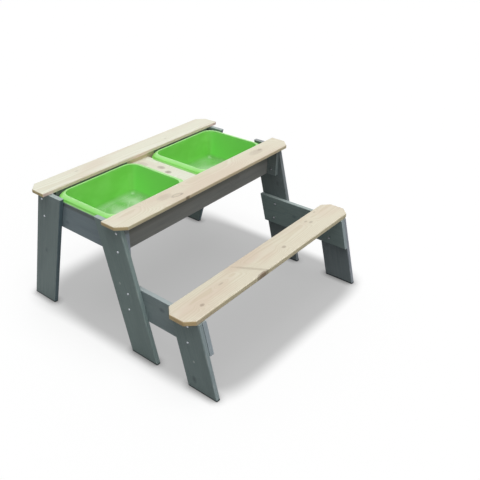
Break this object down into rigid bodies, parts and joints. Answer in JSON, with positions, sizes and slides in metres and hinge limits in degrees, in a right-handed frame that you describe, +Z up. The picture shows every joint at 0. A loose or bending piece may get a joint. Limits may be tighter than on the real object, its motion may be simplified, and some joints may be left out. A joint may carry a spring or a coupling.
{
  "type": "children's sand and water picnic table",
  "caption": "Low painted-wood children's table with an attached plank bench and open-topped plastic play tubs that drop in between two clipped-corner planks and lift straight out",
  "frame": {"origin": "on the floor, at the middle of the table and bench's outline", "axes": "X runs along the planks with the left end at -X, the bench is on the -Y side, Z is up"},
  "size_m": [0.962, 0.9618, 0.511],
  "materials": {
    "natural_wood": "planed pale softwood with knots, unpainted",
    "painted_wood": "grey stain with the grain showing through",
    "green_plastic": "satin moulded plastic",
    "zinc_steel": "zinc plated"
  },
  "bodies": {
    "frame": {"front_top_plank": "natural_wood", "rear_top_plank": "natural_wood", "centre_board": "natural_wood", "bench_seat": "natural_wood", "left_end_rail": "painted_wood", "right_end_rail": "painted_wood", "front_apron": "painted_wood", "rear_apron": "painted_wood", "left_front_leg": "painted_wood", "left_rear_leg": "painted_wood", "right_front_leg": "painted_wood", "right_rear_leg": "painted_wood", "left_bench_leg": "painted_wood", "right_bench_leg": "painted_wood", "left_bench_rail": "painted_wood", "right_bench_rail": "painted_wood", "front_board_cleat": "painted_wood", "rear_board_cleat": "painted_wood", "leg_bolts": "zinc_steel", "leg_bolt_nuts": "zinc_steel", "apron_screws": "zinc_steel", "plank_brackets": "zinc_steel", "seat_brackets": "zinc_steel", "bracket_screws": "zinc_steel", "cleat_screws": "zinc_steel"},
    "left_tub": {"left_tub": "green_plastic"},
    "right_tub": {"right_tub": "green_plastic"}
  },
  "joints": [
    {"name": "left_tub_lift", "type": "slide", "parent": "frame", "child": "left_tub", "axis": [0, 0, 1], "range_m": [0, 0.15]},
    {"name": "right_tub_lift", "type": "slide", "parent": "frame", "child": "right_tub", "axis": [0, 0, 1], "range_m": [0, 0.15]}
  ]
}
